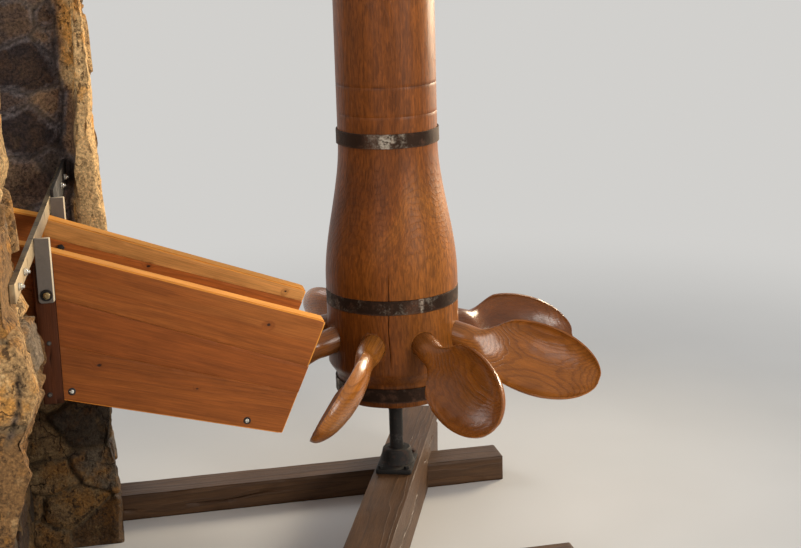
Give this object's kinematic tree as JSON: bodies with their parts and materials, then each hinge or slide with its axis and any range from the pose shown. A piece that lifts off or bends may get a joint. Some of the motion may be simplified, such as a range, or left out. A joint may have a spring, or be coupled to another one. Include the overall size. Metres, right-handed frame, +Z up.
{
  "type": "horizontal water wheel with feed chute",
  "caption": "Drive of a small horizontal watermill: upright wooden shaft with carved spoon blades, fed by a board chute hung in a rubble wall opening.",
  "frame": {"origin": "on the shaft axis at ground level, in the underside of the sole beam", "axes": "+Z up along the shaft, +X the way the water runs along the chute, +Y from the chute side of the wheel to the far side"},
  "size_m": [1.9866, 1.8866, 1.9543],
  "materials": {
    "trunk_larch": "satin, worn smooth",
    "chute_larch": "planed, oiled",
    "dark_larch": "rough, stained by water",
    "wet_oak": "wet, worn smooth",
    "wet_timber": "wet, rough sawn",
    "hoop_iron": "dark, worn bright at places",
    "dark_iron": "dark, forged",
    "zinc_steel": "dull zinc",
    "rubble_stone": "rough rubble with mortar"
  },
  "bodies": {
    "mill_frame": {"footstep_bearing": "dark_iron", "sole_beam": "wet_timber", "sleeper_front": "wet_timber", "sleeper_rear": "wet_timber", "chute_near_board": "chute_larch", "chute_far_board": "chute_larch", "chute_floor": "chute_larch", "feed_near_board": "chute_larch", "feed_far_board": "chute_larch", "feed_floor": "chute_larch", "batten_near": "dark_larch", "batten_far": "dark_larch", "strap_near": "zinc_steel", "strap_far": "zinc_steel", "strap_bolts": "zinc_steel", "hanger_bar": "zinc_steel", "rear_bracket": "dark_iron", "bar_bolts": "zinc_steel", "near_jamb": "rubble_stone", "rear_jamb": "rubble_stone", "sill_wall": "rubble_stone"},
    "wheel": {"shaft_trunk": "trunk_larch", "hoop_upper": "hoop_iron", "hoop_lower": "hoop_iron", "hoop_foot": "hoop_iron", "hoop_top": "hoop_iron", "pivot_pin": "dark_iron", "drive_spindle": "dark_iron", "blade_1": "wet_oak", "blade_2": "wet_oak", "blade_3": "wet_oak", "blade_4": "wet_oak", "blade_5": "wet_oak", "blade_6": "wet_oak", "blade_7": "wet_oak", "blade_8": "wet_oak"}
  },
  "joints": [
    {"name": "wheel_spin", "type": "hinge", "parent": "mill_frame", "child": "wheel", "pos_m": [0, 0, 0.19], "axis": [0, 0, 1], "continuous": true}
  ]
}
